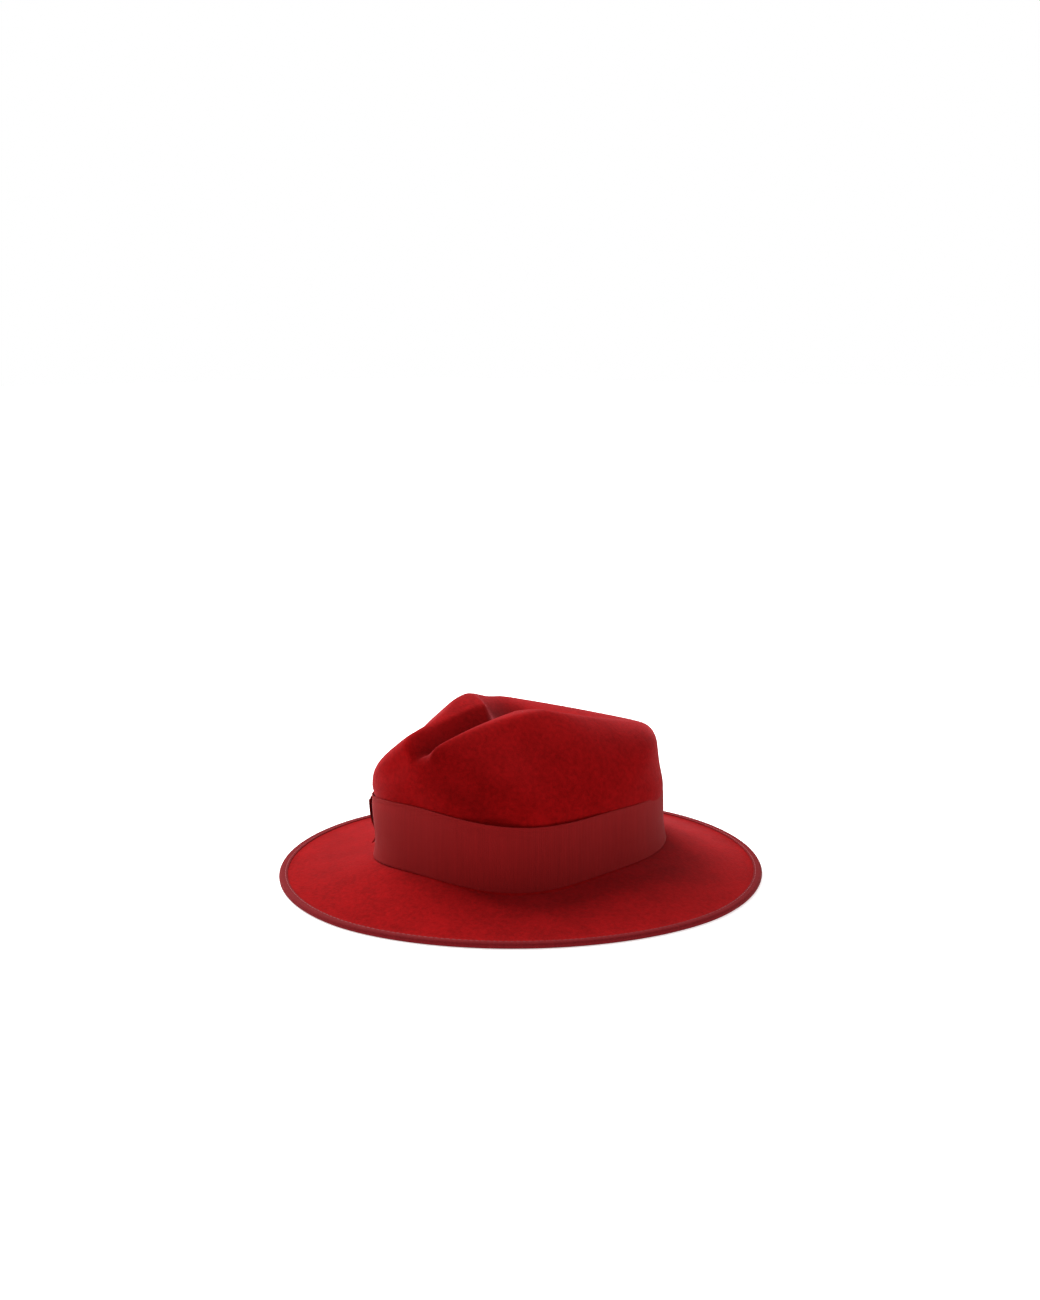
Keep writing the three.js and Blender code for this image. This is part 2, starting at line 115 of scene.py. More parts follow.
TUCK_DEPTH = 1.6          # the felt draws in just over the band at the front
TUCK_ABOVE = 4.0          # height of its middle over the band's top edge
TUCK_HALF = 5.0           # half its height
TUCK_STARTS = (-0.75, -0.3)  # theta over which it deepens
TUCK_ENDS = (0.45, 1.1)   # and fades again
ROLL_DEPTH = 1.2          # and eases out over it at the back
ROLL_ABOVE = 2.0
ROLL_HALF = 9.0
ROLL_STARTS = (0.2, 0.6)  # share of the way back over which it grows

BAND_DIP = 1.5            # the band's lower edge dips at the front left
BAND_DIP_THETA = 0.72
BAND_DIP_HALF = 0.42


def section_curve(name, t):
    """A smooth curve through one column of the section table."""
    x, y = SECTIONS[:, 0], SECTIONS[:, SECTION_COLUMNS.index(name)]
    rates = np.diff(y) / np.diff(x)
    slopes = np.concatenate([rates[:1], (rates[1:] + rates[:-1]) / 2, rates[-1:]])
    i = np.clip(np.searchsorted(x, t) - 1, 0, len(x) - 2)
    h = x[i + 1] - x[i]
    q = (t - x[i]) / h
    start = (2 * q**3 - 3 * q**2 + 1) * y[i] + (q**3 - 2 * q**2 + q) * h * slopes[i]
    end = (3 * q**2 - 2 * q**3) * y[i + 1] + (q**3 - q**2) * h * slopes[i + 1]
    return start + end


CURVE_T = np.linspace(SECTIONS[0, 0], SECTIONS[-1, 0], 1011)
CURVES = {name: section_curve(name, CURVE_T) for name in SECTION_COLUMNS[1:]}


def section_value(t, name):
    return np.interp(t, CURVE_T, CURVES[name])


def soft_ramp(d, r):
    """0 well below zero, d well above it, rounded over r."""
    return 0.5 * (d + np.sqrt(d * d + r * r))


def smoothstep(low, high, x):
    q = np.clip((x - low) / (high - low), 0, 1)
    return q * q * (3 - 2 * q)


def smooth_max(a, b, blend):
    h = np.maximum(blend - np.abs(a - b), 0) / blend
    return np.maximum(a, b) + h * h * blend * 0.25


def front_or_back(theta, sizes):
    return np.where(np.cos(theta) > 0, sizes["front"], sizes["back"])


def oval_radius(theta, half_width, half_length, exponent):
    across = np.abs(np.sin(theta) / half_width) ** exponent
    along = np.abs(np.cos(theta) / half_length) ** exponent
    return (across + along) ** (-1 / exponent)


def wall_radius(theta, h):
    lean = soft_ramp(h - TAPER_START, 10)
    half_width = CROWN_HALF_WIDTH - TAPER_SIDE * lean
    half_length = CROWN_HALF_LENGTH - front_or_back(theta, TAPER_LENGTH) * lean
    fuller = smoothstep(*SWELL, h)
    front = FRONT_EXPONENT["foot"] + (FRONT_EXPONENT["top"] - FRONT_EXPONENT["foot"]) * fuller
    exponent = np.where(np.cos(theta) > 0, front, BACK_EXPONENT)
    drawn_in = SQUEEZE * smoothstep(-0.3, 0.5, np.cos(theta))
    drawn_in = drawn_in * (1 - smoothstep(*SQUEEZE_RISE, h - band_top(theta)))
    return oval_radius(theta, half_width, half_length, exponent) - drawn_in


def theta_from(theta, middle):
    """Angle from a direction, between minus and plus half a turn."""
    return (theta - middle + np.pi) % (2 * np.pi) - np.pi


def brim_radius(theta):
    return oval_radius(theta, BRIM_HALF_WIDTH, BRIM_HALF_LENGTH, BRIM_EXPONENT)


def band_bottom(theta):
    """Height of the band's lower edge, which rises and falls round the crown."""
    dip = BAND_DIP * np.exp(-((theta_from(theta, BAND_DIP_THETA) / BAND_DIP_HALF) ** 2))
    return 14.8 - 2.3 * np.cos(theta) + 2.4 * np.cos(2 * theta) + 1.2 * np.cos(4 * theta) - dip


def band_top(theta):
    """Height of the band's upper edge."""
    return 53.0 + 0.9 * np.cos(theta) + 2.7 * np.cos(2 * theta) + 1.5 * np.cos(4 * theta)


def roof_height(s, t):
    """Height of the crown's top over a point."""
    s = s - section_value(t, "centre")
    across = np.abs(s)
    rim = section_value(t, "rim")
    outside = section_value(t, "fall") * soft_ramp(across - rim, RIM_ROUND)
    shelf = section_value(t, "shelf") * soft_ramp(rim - across, RIM_ROUND)
    ridge = section_value(t, "ridge")
    rounded = np.sqrt(across**2 + GROOVE_ROUND**2) - GROOVE_ROUND
    groove = section_value(t, "groove") * soft_ramp(ridge - rounded, RIDGE_ROUND) / ridge
    bowl = section_value(t, "dent") * np.exp(-((np.clip(across / rim, 0, 1.2) / DENT_REACH) ** 4))
    ends_at = SHELF_END + SHELF_END_BOW * np.maximum(0, SHELF_END_HALF - across) ** 2
    front = np.exp(-((soft_ramp(ends_at - t, SHELF_EDGE) / SHELF_DROP) ** 1.3))
    lean = section_value(t, "lean") * s
    inside = front * (shelf + groove) + (1 - front) * np.maximum(bowl, 0)
    return section_value(t, "height") + lean - outside - inside


def from_valley(s, t, h, start, end):
    """How far along a pinch's valley a point lies, kept from start to end, and its distance."""
    point = np.stack([s, t, h], -1)
    run = VALLEY_FOOT - VALLEY_TOP
    along = np.clip(((point - VALLEY_TOP) @ run) / (run @ run), start, end)
    return along, np.linalg.norm(point - (VALLEY_TOP + along[..., None] * run), axis=-1)


def valley(s, t, h):
    """Depth of the two front pinches at a point."""
    along, distance = from_valley(np.abs(s), t, h, 0, 1.15)
    side = smoothstep(-8, 8, s)
    depth = VALLEY_DEPTH["right"] + (VALLEY_DEPTH["left"] - VALLEY_DEPTH["right"]) * side
    fading = (1 - 0.25 * along) * (0.45 + 0.55 * smoothstep(0, 0.35, along))
    return depth * np.exp(-((distance / VALLEY_WIDTH) ** 2)) * fading


def tuck(theta, h):
    """Depth of the hollow over the band's upper edge, below zero where the felt eases out."""
    near = np.exp(-(((h - band_top(theta) - TUCK_ABOVE) / TUCK_HALF) ** 2))
    turned = theta_from(theta, 0)
    window = smoothstep(*TUCK_STARTS, turned) * (1 - smoothstep(*TUCK_ENDS, turned))
    over = np.exp(-(((h - band_top(theta) - ROLL_ABOVE) / ROLL_HALF) ** 2))
    behind = smoothstep(*ROLL_STARTS, -np.cos(theta))
    return TUCK_DEPTH * near * window - ROLL_DEPTH * over * behind


def crown_distance(s, t, h):
    """Roughly the distance outside the crown's outer surface, negative inside it."""
    theta = np.arctan2(s, t)
    beyond_wall = (np.hypot(s, t) - wall_radius(theta, h)) * 0.97
    step = 0.5
    roof = roof_height(s, t)
    slope_s = (roof_height(s + step, t) - roof_height(s - step, t)) / (2 * step)
    slope_t = (roof_height(s, t + step) - roof_height(s, t - step)) / (2 * step)
    above_roof = (h - roof) / np.sqrt(1 + slope_s**2 + slope_t**2)
    corner = section_value(t, "corner") * (FIRM_SIDE + (1 - FIRM_SIDE) * smoothstep(-20, 5, s))
    joined = smooth_max(beyond_wall, above_roof, corner)
    return joined + valley(s, t, h) + tuck(theta, h)


def crown_points(theta, elevation, level=0.0):
    """Where rays from the crown's centre reach the given distance from its surface."""
    across = np.cos(elevation) * np.sin(theta)
    forward = np.cos(elevation) * np.cos(theta)
    up = np.sin(elevation)

    def outside(reach):
        return crown_distance(across * reach, forward * reach, SHELL_CENTRE + up * reach) > level

    high = np.full(theta.shape, 140.0)
    found = np.zeros(theta.shape, bool)
    for reach in np.arange(36.0, 132.0, 3.0):
        hit = outside(np.full(theta.shape, reach)) & ~found
        high = np.where(hit, reach, high)
        found |= hit
    low = high - 3
    for _ in range(14):
        middle = (low + high) / 2
        out = outside(middle)
        high = np.where(out, middle, high)
        low = np.where(out, low, middle)
    return ring_points(theta, np.cos(elevation) * high, SHELL_CENTRE + up * high)


def ring_points(theta, radius, h, crown_share=1.0):
    """Points in the hat's frame, still in millimetres, on the crown's axis or the brim's."""
    y = -radius * np.cos(theta) - CROWN_FORWARD * crown_share
    return np.stack([radius * np.sin(theta), y, h + EDGE_MIDDLE + 0 * theta], -1)


def break_height(theta):
    """Height of the brim's upper face where it meets the crown."""
    return band_bottom(theta) - 1.0


def felt_radius(theta, h):
    """Radius of the felt's outer face, with the bend into the brim."""
    over = np.clip(BREAK_RADIUS - (h - break_height(theta)), 0, BREAK_RADIUS)
    bend = BREAK_RADIUS - np.sqrt(BREAK_RADIUS**2 - over**2)
    return wall_radius(theta, h) + bend - tuck(theta, h)


def ring_angles(count, front_density=0.3):
    """Angles round the hat, crowding towards the front, with the last on top of the first."""
    even = np.linspace(0, 2 * np.pi, count + 1)
    return even - front_density * np.sin(even)


def felt_rows(round_steps, brim_steps, bend_steps, wall_steps, crown_steps):
    """The felt's outer face from the brim's edge to the top of the crown, row by row."""
    theta = ring_angles(round_steps)
    edge = brim_radius(theta)
    start = edge - BRIM_FLAT
    bend_start = wall_radius(theta, 0.0) + BREAK_RADIUS
    top = FELT / 2
    rows = [ring_points(theta, edge - EDGE_MIDDLE + FELT / 2, top, 0.0)]
    rows.append(ring_points(theta, edge - 2.5, top, 0.0))
    for share in np.linspace(0, 1, brim_steps):
        radius = start + (bend_start - start) * share
        h = top + (break_height(theta) - top) * share**BRIM_CURVE
        rows.append(ring_points(theta, radius, h, share))
    for turn in np.linspace(0, np.pi / 2, bend_steps + 1)[1:]:
        radius = bend_start - BREAK_RADIUS * np.sin(turn)
        h = break_height(theta) + BREAK_RADIUS * (1 - np.cos(turn))
        rows.append(ring_points(theta, radius, h))
    foot = break_height(theta) + BREAK_RADIUS
    for share in np.linspace(0, 1, wall_steps + 1)[1:]:
        h = foot + (SHELL_CENTRE - foot) * share
        rows.append(ring_points(theta, felt_radius(theta, h), h))
    elevation = np.linspace(0, np.pi / 2, crown_steps + 1)[1:]
    rows.extend(crown_points(*np.meshgrid(theta, elevation)))
    return np.array(rows)
# form: end


# ---- making meshes -----------------------------------------------------------------------------

def laid_grid(name, rows, size):
    """A grid laid onto rows of points, in millimetres. rows[j][i] has j up and i along, and size
    is the cloth's length and width, which its UV map keeps in metres."""
    up, along = rows.shape[0] - 1, rows.shape[1] - 1
    bpy.ops.object.select_all(action="DESELECT")
    bpy.ops.mesh.primitive_grid_add(x_subdivisions=along, y_subdivisions=up, size=2,
                                    location=(0, 0, 0))
    piece = bpy.context.object
    piece.name = name
    piece.data.name = name
    mesh = piece.data
    flat = np.empty(len(mesh.vertices) * 3)
    mesh.vertices.foreach_get("co", flat)
    share = (flat.reshape(-1, 3)[:, :2] + 1) / 2
    i = np.rint(share[:, 0] * along).astype(int)
    j = np.rint(share[:, 1] * up).astype(int)
    mesh.vertices.foreach_set("co", (rows[j, i] * MM).ravel())
    corner = np.empty(len(mesh.loops), int)
    mesh.loops.foreach_get("vertex_index", corner)
    uv = share[corner] * np.array(size) * MM
    mesh.uv_layers.active.data.foreach_set("uv", uv.ravel())
    mesh.update()
    return piece


def close_seams(piece):
    bpy.ops.object.mode_set(mode="EDIT")
    bpy.ops.mesh.select_all(action="SELECT")
    bpy.ops.mesh.remove_doubles(threshold=0.00001)
    bpy.ops.object.mode_set(mode="OBJECT")


def give_thickness(piece, thickness, bevel=0.0):
    """Thickens a sheet inwards, away from the face that shows, and softens its cut edges."""
    wall = piece.modifiers.new("wall", "SOLIDIFY")
    wall.thickness = thickness * MM
    wall.offset = -1
    wall.use_even_offset = False
    bpy.ops.object.modifier_apply(modifier=wall.name)
    if bevel:
        soft = piece.modifiers.new("soft_edges", "BEVEL")
        soft.width = bevel * MM
        soft.segments = 2
        soft.limit_method = "ANGLE"
        soft.angle_limit = math.radians(50)
        bpy.ops.object.modifier_apply(modifier=soft.name)


def finish_piece(piece, nodes, material):
    bpy.ops.object.shade_smooth_by_angle(angle=math.radians(50))
    piece.data.materials.clear()
    piece.data.materials.append(material)
    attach(piece, "root")
    if nodes:
        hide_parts(*nodes)
    piece.select_set(False)
    return piece


def length_round(points):
    return float(np.linalg.norm(np.diff(points, axis=0), axis=1).sum())


# ---- materials ---------------------------------------------------------------------------------

def linear(hex_colour):
    """An sRGB hex colour as linear red, green, blue and alpha."""
    parts = [int(hex_colour[i:i + 2], 16) / 255 for i in (1, 3, 5)]
    return [p / 12.92 if p <= 0.04045 else ((p + 0.055) / 1.055) ** 2.4 for p in parts] + [1.0]


def add_node(tree, kind, settings=None, inputs=None):
    """Adds a node. inputs maps a socket's name or number to a value, or to an output to link."""
    node = tree.nodes.new(kind)
    for name, value in (settings or {}).items():
        setattr(node, name, value)
    for socket, value in (inputs or {}).items():
        if isinstance(value, bpy.types.NodeSocket):
            tree.links.new(value, node.inputs[socket])
        else:
            node.inputs[socket].default_value = value
    return node


def cloth_material(name, sheen, sheen_tint, sheen_roughness, roughness, specular):
    """A material with a matte cloth surface, and its tree and shader."""
    material = bpy.data.materials.new(name)
    material.use_nodes = True
    tree = material.node_tree
    surface = tree.nodes["Principled BSDF"]
    surface.inputs["Roughness"].default_value = roughness
    surface.inputs["Specular IOR Level"].default_value = specular
    surface.inputs["Sheen Weight"].default_value = sheen
    surface.inputs["Sheen Roughness"].default_value = sheen_roughness
    surface.inputs["Sheen Tint"].default_value = linear(sheen_tint)
    return material, tree, surface


def noise(tree, where, size, detail=2.0, rough=0.5):
    """Noise whose blotches are about size metres across."""
    inputs = {"Vector": where, "Scale": 1 / size, "Detail": detail, "Roughness": rough}
    return add_node(tree, "ShaderNodeTexNoise", inputs=inputs).outputs["Fac"]


def spread(tree, value, low, high, to_low, to_high):
    inputs = {"Value": value, "From Min": low, "From Max": high, "To Min": to_low,
              "To Max": to_high}
    return add_node(tree, "ShaderNodeMapRange", inputs=inputs).outputs["Result"]


def maths(tree, operation, a, b=0.0):
    node = add_node(tree, "ShaderNodeMath", {"operation": operation}, {0: a, 1: b})
    return node.outputs[0]


def shade_of(tree, factor, dark, light):
    """A colour between two, by a factor from 0 to 1."""
    inputs = {"Factor": factor, 6: linear(dark), 7: linear(light)}
    mix = add_node(tree, "ShaderNodeMix", {"data_type": "RGBA"}, inputs)
    return mix.outputs[2]


def bump(tree, surface, height, depth, strength=1.0):
    inputs = {"Height": height, "Distance": depth, "Strength": strength}
    node = add_node(tree, "ShaderNodeBump", inputs=inputs)
    tree.links.new(node.outputs["Normal"], surface.inputs["Normal"])


def wool_felt():
    """Wool felt, fulled, dyed deep red and brushed: quite matte, with a short nap whose tufts
    catch the light in soft speckles, and wider clouds where the nap lies another way. Painted shade
    darkens its creases."""
    material, tree, surface = cloth_material("wool_felt", 0.33, "#ff7880", 0.35, 0.95, 0.02)
    where = add_node(tree, "ShaderNodeTexCoord").outputs["Object"]
    tufts = noise(tree, where, 0.0028, 3.0, 0.65)     # tufts of about 3 mm
    clouds = noise(tree, where, 0.024, 2.0, 0.5)      # clouds of about 25 mm
    fibres = noise(tree, where, 0.0007, 2.0, 0.7)     # fibres of about half a millimetre
    mottle = maths(tree, "ADD", maths(tree, "MULTIPLY", tufts, 0.65),
                   maths(tree, "MULTIPLY", clouds, 0.35))
    factor = spread(tree, mottle, 0.38, 0.62, 0.0, 1.0)
    # painted shade: the felt's colour is darkened where shade falls, in the crown's dent and groove
    # and along the front pinch
    painted_shade = add_node(tree, "ShaderNodeAttribute", {"attribute_name": "painted_shade"}).outputs["Fac"]
    left = spread(tree, painted_shade, 0.0, 1.0, 1.0, 0.45)
    shade = add_node(tree, "ShaderNodeVectorMath", {"operation": "SCALE"},
                     {0: shade_of(tree, factor, "#780607", "#900a0c"), "Scale": left})
    tree.links.new(shade.outputs["Vector"], surface.inputs["Base Color"])
    height = maths(tree, "ADD", fibres, maths(tree, "MULTIPLY", tufts, 0.9))
    bump(tree, surface, height, 0.0002, 0.6)
    return material


def grosgrain(name, dark, light, rib, sheen=0.10):
    """Grosgrain ribbon, woven with thick weft ribs across it: dull, with a painted highlight along
    the crown of each rib and painted shade in the lines between them. rib is the ribs' spacing in
    metres."""
    material, tree, surface = cloth_material(name, sheen, "#ff7a7a", 0.5, 0.8, 0.06)
    uv = add_node(tree, "ShaderNodeTexCoord").outputs["UV"]
    along = add_node(tree, "ShaderNodeSeparateXYZ", inputs={0: uv}).outputs["X"]
    wave = maths(tree, "SINE", maths(tree, "MULTIPLY", along, math.pi / rib))
    ridge = maths(tree, "ABSOLUTE", wave)
    stretch = add_node(tree, "ShaderNodeMapping", inputs={"Vector": uv, "Scale": (1.0, 0.05, 1.0)})
    streaks = noise(tree, stretch.outputs["Vector"], 0.0022, 2.0, 0.6)
    threads = noise(tree, uv, 0.0006, 1.0, 0.6)
    # painted highlight and shade: the colour is lighter on each rib's crown and darker between ribs
    mixed = maths(tree, "ADD", maths(tree, "MULTIPLY", ridge, 0.22),
                  maths(tree, "MULTIPLY", streaks, 0.9))
    factor = spread(tree, mixed, 0.1, 1.1, 0.0, 1.0)
    tree.links.new(shade_of(tree, factor, dark, light), surface.inputs["Base Color"])
    height = maths(tree, "ADD", ridge, maths(tree, "MULTIPLY", threads, 0.5))
    bump(tree, surface, height, rib * 0.09, 0.6)
    return material


def sewing_thread():
    """Polyester sewing thread, spun and dyed to match: a thin round yarn with a slight shine."""
    material, tree, surface = cloth_material("sewing_thread", 0.3, "#ffb0b0", 0.4, 0.6, 0.4)
    where = add_node(tree, "ShaderNodeTexCoord").outputs["Object"]
    factor = noise(tree, where, 0.0012, 1.0)
    tree.links.new(shade_of(tree, factor, "#7c2028", "#94303a"), surface.inputs["Base Color"])
    return material


# ---- pieces ------------------------------------------------------------------------------------

def make_felt_body(felt):
    rows = felt_rows(round_steps=300, brim_steps=32, bend_steps=8, wall_steps=14, crown_steps=102)
    piece = laid_grid("felt_shell", rows, (length_round(rows[0]), 250.0))
    close_seams(piece)
    give_thickness(piece, FELT)
    mark_painted_shade(piece)
    return finish_piece(piece, ["felt_body"], felt)


CREASE_WIDTH = 15.0       # of the painted shade along the near front pinch
TOP_DEPTH = 4.0           # a point this near the crown's top face counts as on it
SHELF_DEPTH = 4.0         # felt this far below the rims gets no painted shade yet
SUNK_DEPTH = 9.0          # and this much further down the painted shade is at its fullest


def mark_painted_shade(piece):
    """Marks how much painted shade darkens the felt's colour at each point: in the dent and the
    groove of the crown's top, and along the front pinch on the wearer's left."""
    mesh = piece.data
    place = np.empty(len(mesh.vertices) * 3)
    mesh.vertices.foreach_get("co", place)
    x, y, z = (place.reshape(-1, 3) / MM).T
    s, t, h = x, -y - CROWN_FORWARD, z - EDGE_MIDDLE
    within = 1 - smoothstep(-3, 1, np.abs(s) - section_value(t, "rim"))
    on_top = np.exp(-(((h - roof_height(s, t)) / TOP_DEPTH) ** 2)) * smoothstep(-95, -60, t)
    sunk = np.clip((section_value(t, "height") - h - SHELF_DEPTH) / SUNK_DEPTH, 0, 1)
    behind = 1 - smoothstep(8, 24, t)
    beside = from_valley(s, t, h, 0.1, 1.2)[1]
    pinch_shade = np.exp(-((beside / CREASE_WIDTH) ** 2))
    # painted shade, strongest deep in the dent and groove and along the near front pinch
    painted_shade = within * on_top * sunk * (0.6 + 0.3 * behind) + 0.5 * pinch_shade
    mark = mesh.attributes.new("painted_shade", "FLOAT", "POINT")
    mark.data.foreach_set("value", np.clip(painted_shade, 0, 1))


BAND_WIDTH = 39.0
BAND_RIBBON = 0.7         # the band's ribbon with its turned edges
BAND_STANDS = 1.1         # its outer face over the felt
BAND_FLARE = 1.3          # its lower edge springs out over the brim, most at the hat's corners
FLARE_REACH = 0.42        # share of its height
FLARE_LEAST = math.radians(42)  # theta where it springs out least
HUG_FROM = 0.82           # share of its height over which it comes back to the felt
HUG = 0.3                 # by this much, and as much of the felt's own hollow as HUG_FOLLOWS
HUG_FOLLOWS = 0.85


def band_face(theta, h):
    """Radius of the band's outer face."""
    share = np.clip((h - band_bottom(theta)) / (band_top(theta) - band_bottom(theta)), 0, 1)
    round_share = 1 - 0.8 * np.cos(2 * (theta - FLARE_LEAST))
    flare = BAND_FLARE * round_share * np.maximum(0, 1 - share / FLARE_REACH) ** 1.7
    slack = (0.2 * np.sin(3 * theta + 0.6) + 0.12 * np.sin(7 * theta + 2.0)) * np.sin(np.pi * share)
    drawn_in = HUG + HUG_FOLLOWS * np.maximum(tuck(theta, band_top(theta)), 0)
    hug = drawn_in * smoothstep(HUG_FROM, 1.0, share)
    return wall_radius(theta, np.minimum(h, band_top(theta))) + BAND_STANDS + flare + slack - hug


def make_hat_band(ribbon):
    theta = ring_angles(420)
    rows = []
    for share in np.linspace(0, 1, 34):
        h = band_bottom(theta) + (band_top(theta) - band_bottom(theta)) * share
        rows.append(ring_points(theta, band_face(theta, h), h))
    rows = np.array(rows)
    piece = laid_grid("band_ribbon", rows, (length_round(rows[16]), BAND_WIDTH))
    close_seams(piece)
    give_thickness(piece, BAND_RIBBON, 0.15)
    return finish_piece(piece, ["hat_band"], ribbon)


BINDING_RIBBON = 0.45     # the real ribbon is thinner than its clearance and lies on the felt
BINDING_LIES = 0.25       # its upper face comes this much nearer to the felt
BINDING_LIFT = 0.3        # its inner edge underneath is this much off the table
BINDING_PRESSED = 0.18    # its inner edge on top is sewn down by this much
PUCKER = 0.1              # its inner edge wanders in and out by this much between stitches
PUCKERS = 97              # radians of that wave for each radian round the brim

def binding_section(theta, share):
    """The bound edge's outer face: share runs 0 to 1 from the inner edge underneath, round the
    brim's edge, to the inner edge on top. Returns the distance in from the outline, and h."""
    flat = BINDING_WIDTH - EDGE_MIDDLE
    turn = np.pi * EDGE_MIDDLE
    run = share * (2 * flat + turn)
    if run < flat:
        lift = BINDING_LIFT * (1 - run / flat)
        return BINDING_WIDTH - run, -EDGE_MIDDLE + lift + 0 * theta
    if run > flat + turn:
        beyond = (run - flat - turn) / flat
        sewn = smoothstep(0.75, 1.0, beyond)
        pucker = PUCKER * np.sin(theta * PUCKERS) * smoothstep(0.75, 1.0, share)
        top = EDGE_MIDDLE - BINDING_LIES * beyond - BINDING_PRESSED * sewn
        return EDGE_MIDDLE + flat * beyond + pucker, top + 0 * theta
    angle = (run - flat) / EDGE_MIDDLE
    return EDGE_MIDDLE * (1 - np.sin(angle)) + 0 * theta, -EDGE_MIDDLE * np.cos(angle) + 0 * theta


def make_brim_binding(ribbon):
    theta = ring_angles(640, 0.0)
    rows = []
    for share in np.linspace(0, 1, 21):
        inward, h = binding_section(theta, share)
        rows.append(ring_points(theta, brim_radius(theta) - inward, h, 0.0))
    rows = np.array(rows)
    piece = laid_grid("edge_binding", rows, (length_round(rows[10]), 15.0))
    close_seams(piece)
    give_thickness(piece, BINDING_RIBBON, 0.12)
    return finish_piece(piece, ["brim_binding"], ribbon)


STITCH_LENGTH = 2.6
STITCH_PITCH = 3.4
STITCH_IN = 1.3           # from the binding's inner edge
THREAD_RADIUS = 0.22
STITCH_SUNK = {"on top": 0.22, "underneath": 0.21}   # below the edge's flat faces


def make_binding_stitches(thread):
    """One row of stitches on top of the binding and one underneath, all in one mesh."""
    bpy.ops.object.select_all(action="DESELECT")
    bpy.ops.mesh.primitive_uv_sphere_add(segments=6, ring_count=5, radius=1, location=(0, 0, 0))
    seed = bpy.context.object
    seed_mesh = seed.data
    shape = np.empty(len(seed_mesh.vertices) * 3)
    seed_mesh.vertices.foreach_get("co", shape)
    shape = shape.reshape(-1, 3) * np.array([THREAD_RADIUS, THREAD_RADIUS, STITCH_LENGTH / 2])
    faces = [list(face.vertices) for face in seed_mesh.polygons]
    bpy.data.objects.remove(seed)

    radius = BRIM_HALF_WIDTH - BINDING_WIDTH + STITCH_IN
    count = int(2 * np.pi * radius / STITCH_PITCH)
    points, loops = [], []
    rows = [(0.0, EDGE_MIDDLE - STITCH_SUNK["on top"]),
            (0.5, -(EDGE_MIDDLE - STITCH_SUNK["underneath"]))]
    for offset, h in rows:
        for k in range(count):
            theta = 2 * np.pi * (k + offset) / count
            ahead = theta + 0.01
            at = brim_radius(theta) - BINDING_WIDTH + STITCH_IN
            next_at = brim_radius(ahead) - BINDING_WIDTH + STITCH_IN
            here = ring_points(np.array(theta), at, h, 0.0)
            there = ring_points(np.array(ahead), next_at, h, 0.0)
            run = (there - here) / np.linalg.norm(there - here)
            out = np.array([run[1], -run[0], 0.0])
            base = len(points)
            for x, y, z in shape:
                points.append(here + out * x + np.array([0, 0, y]) + run * z)
            loops.extend([[base + v for v in face] for face in faces])
    mesh = bpy.data.meshes.new("edge_stitches")
    mesh.from_pydata([tuple(p * MM) for p in points], [], loops)
    mesh.update()
    piece = bpy.data.objects.new("edge_stitches", mesh)
    bpy.context.collection.objects.link(piece)
    bpy.context.view_layer.objects.active = piece
    piece.select_set(True)
    bpy.ops.object.mode_set(mode="EDIT")
    bpy.ops.mesh.select_all(action="SELECT")
    bpy.ops.mesh.normals_make_consistent(inside=False)
    bpy.ops.object.mode_set(mode="OBJECT")
    return finish_piece(piece, [], thread)


BOW_THETA = math.radians(-71)   # middle of the bow, on the wearer's right
BOW_LOOP = 43.0           # length of each loop
BOW_RADIUS = 88.0         # radius of the crown there
BOW_RIBBON = 0.6
BOW_GAP = 0.5
BOW_BELLY = 1.7           # opening inside a loop at its end
BOW_LOWER = 5.0           # a loop's lower edge over the band's lower edge
BOW_UPPER = 0.8           # and its upper edge under the band's upper edge
BOW_PINCH = 4.0           # how much each edge draws in at the knot
BOW_WIDTH = 33.0          # of its ribbon
BACK_SHORTER = 2.5        # the back loop's fold stops this much short of the front one's ends
SLANT_RUN = 14.0          # the front loop's ends are cut on the slant over this length
SLANT_LOWER = 6.5         # at the outer ribbon's lower corner
SLANT_UPPER = 5.0         # and at both ribbons' upper corner
END_CURL = 2.0            # the under ribbon's lower corner curls out by this much
KNOT_WIDTH = 14.0
KNOT_GAP = 0.3            # round the ribbons that it holds
KNOT_CORNER = 2.0         # radius of its upper and lower bends
KNOT_LENGTH = 40.0


def bow_points(along, out, h):
    theta = BOW_THETA + along / BOW_RADIUS
    return ring_points(theta, band_face(theta, h) + out, h)


def bow_edges(along):
    theta = BOW_THETA + np.abs(along) / BOW_RADIUS
    pinch = BOW_PINCH * (1 - smoothstep(KNOT_WIDTH / 2, BOW_LOOP * 0.6, np.abs(along)))
    return band_bottom(theta) + BOW_LOWER + pinch, band_top(theta) - BOW_UPPER - pinch


